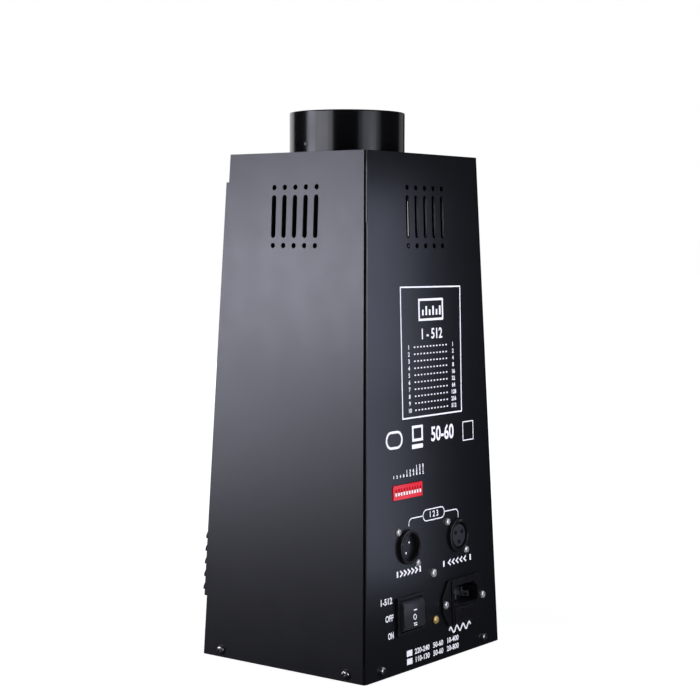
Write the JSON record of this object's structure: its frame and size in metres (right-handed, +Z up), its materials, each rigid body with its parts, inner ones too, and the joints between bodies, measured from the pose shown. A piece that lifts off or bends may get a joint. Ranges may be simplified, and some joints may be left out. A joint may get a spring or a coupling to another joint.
{
  "type": "stage flame machine",
  "caption": "Free-standing stage effect unit: a tapered black steel tower that throws a short flame up through a round barrel, with a hinged can bay and rear signal and power sockets.",
  "frame": {"origin": "middle of the base plate's underside, where the machine stands on the floor", "axes": "+Z up; -Y towards the front, where the hinged door is; +Y towards the back panel with the sockets; +X towards the side on the left of the picture"},
  "size_m": [0.166, 0.157, 0.3909],
  "materials": {
    "powder_black": "fine-textured black powder coat on sheet steel",
    "barrel_black": "satin black heat-proof paint on rolled steel",
    "dark_steel": "dull zinc-plated sheet steel",
    "bright_steel": "plain bright steel",
    "brass": "turned brass",
    "ceramic": "glazed white ceramic, for which gloss plastic stands in",
    "can_paint": "bare silver-grey lacquer on a thin steel can",
    "black_plastic": "moulded black plastic",
    "grey_plastic": "satin dark plastic",
    "red_plastic": "moulded red plastic",
    "white_plastic": "moulded white plastic",
    "red_lead": "red silicone insulation",
    "green_lead": "green insulation with a yellow stripe",
    "green_board": "green solder resist on a glass-fibre board",
    "clear_glass": "clear glass tube"
  },
  "bodies": {
    "housing": {"base_plate": "powder_black", "side_panel_right": "powder_black", "side_panel_left": "powder_black", "back_panel": "powder_black", "front_panel": "powder_black", "top_plate": "powder_black", "hinge_leaf_frame": "powder_black", "hinge_pin": "bright_steel", "flame_barrel": "barrel_black", "barrel_collar": "dark_steel", "chimney_liner": "bright_steel", "burner_strap": "dark_steel", "burner_nozzle": "brass", "insulator_left": "ceramic", "insulator_right": "ceramic", "electrode_left": "bright_steel", "electrode_right": "bright_steel", "inner_shelf": "dark_steel", "can_cradle": "black_plastic", "gas_can": "can_paint", "can_clip": "bright_steel", "lever_bracket": "bright_steel", "lever_pin": "bright_steel", "solenoid": "dark_steel", "solenoid_bracket": "bright_steel", "spark_coil": "black_plastic", "spark_lead_left": "red_lead", "spark_lead_right": "red_lead", "power_supply": "bright_steel", "control_board": "green_board", "signal_in_socket": "black_plastic", "signal_in_pins": "bright_steel", "signal_out_socket": "black_plastic", "switch_block": "red_plastic", "rocker_bezel": "black_plastic", "mains_inlet": "black_plastic", "inlet_blades": "bright_steel", "earth_screw": "brass", "earth_lead": "green_lead"},
    "door": {"access_door": "powder_black", "hinge_leaf_door": "powder_black"},
    "latch": {"latch_knob": "black_plastic", "latch_cam": "bright_steel"},
    "lever": {"press_lever": "bright_steel"},
    "jet": {"jet_tube": "brass"},
    "plunger": {"solenoid_plunger": "bright_steel"},
    "rocker": {"rocker_paddle": "grey_plastic"},
    "fuse_tray": {"fuse_drawer": "black_plastic", "fuse": "clear_glass"},
    "slide_1": {"slide_switch_1": "white_plastic"},
    "slide_2": {"slide_switch_2": "white_plastic"},
    "slide_3": {"slide_switch_3": "white_plastic"},
    "slide_4": {"slide_switch_4": "white_plastic"},
    "slide_5": {"slide_switch_5": "white_plastic"},
    "slide_6": {"slide_switch_6": "white_plastic"},
    "slide_7": {"slide_switch_7": "white_plastic"},
    "slide_8": {"slide_switch_8": "white_plastic"},
    "slide_9": {"slide_switch_9": "white_plastic"},
    "slide_10": {"slide_switch_10": "white_plastic"}
  },
  "joints": [
    {"name": "door_hinge", "type": "hinge", "parent": "housing", "child": "door", "pos_m": [-0.07548, -0.06784, 0.21203], "axis": [-0.0444, -0.0347, -0.9984], "range_deg": [0, 110]},
    {"name": "latch_turn", "type": "hinge", "parent": "door", "child": "latch", "pos_m": [0.05009, -0.06682, 0.17789], "axis": [0, -0.9994, 0.0347], "range_deg": [0, 90]},
    {"name": "lever_press", "type": "hinge", "parent": "housing", "child": "lever", "pos_m": [0.034, -0.00725, 0.2095], "axis": [0, -1, 0], "range_deg": [0, 3], "stiffness_Nm_per_rad": 0.5, "springref_deg": -5.73},
    {"name": "jet_slide", "type": "slide", "parent": "housing", "child": "jet", "axis": [0, 0, -1], "range_m": [0, 0.0018]},
    {"name": "plunger_slide", "type": "slide", "parent": "housing", "child": "plunger", "axis": [0, 0, -1], "range_m": [0, 0.0037]},
    {"name": "rocker_tilt", "type": "hinge", "parent": "housing", "child": "rocker", "pos_m": [0.0303, 0.07161, 0.03998], "axis": [1, 0, 0], "range_deg": [-10, 10]},
    {"name": "fuse_tray_slide", "type": "slide", "parent": "housing", "child": "fuse_tray", "axis": [0, 0.9994, 0.0347], "range_m": [0, 0.02]},
    {"name": "slide_1_move", "type": "slide", "parent": "housing", "child": "slide_1", "axis": [0, -0.0347, 0.9994], "range_m": [0, 0.0024]},
    {"name": "slide_2_move", "type": "slide", "parent": "housing", "child": "slide_2", "axis": [0, -0.0347, 0.9994], "range_m": [0, 0.0024]},
    {"name": "slide_3_move", "type": "slide", "parent": "housing", "child": "slide_3", "axis": [0, -0.0347, 0.9994], "range_m": [0, 0.0024]},
    {"name": "slide_4_move", "type": "slide", "parent": "housing", "child": "slide_4", "axis": [0, -0.0347, 0.9994], "range_m": [0, 0.0024]},
    {"name": "slide_5_move", "type": "slide", "parent": "housing", "child": "slide_5", "axis": [0, -0.0347, 0.9994], "range_m": [0, 0.0024]},
    {"name": "slide_6_move", "type": "slide", "parent": "housing", "child": "slide_6", "axis": [0, -0.0347, 0.9994], "range_m": [0, 0.0024]},
    {"name": "slide_7_move", "type": "slide", "parent": "housing", "child": "slide_7", "axis": [0, -0.0347, 0.9994], "range_m": [0, 0.0024]},
    {"name": "slide_8_move", "type": "slide", "parent": "housing", "child": "slide_8", "axis": [0, -0.0347, 0.9994], "range_m": [0, 0.0024]},
    {"name": "slide_9_move", "type": "slide", "parent": "housing", "child": "slide_9", "axis": [0, -0.0347, 0.9994], "range_m": [0, 0.0024]},
    {"name": "slide_10_move", "type": "slide", "parent": "housing", "child": "slide_10", "axis": [0, -0.0347, 0.9994], "range_m": [0, 0.0024]}
  ],
  "couplings": [
    {"joint": "jet_slide", "follows": "lever_press", "m_per_rad": 0.034},
    {"joint": "plunger_slide", "follows": "lever_press", "m_per_rad": 0.07}
  ]
}
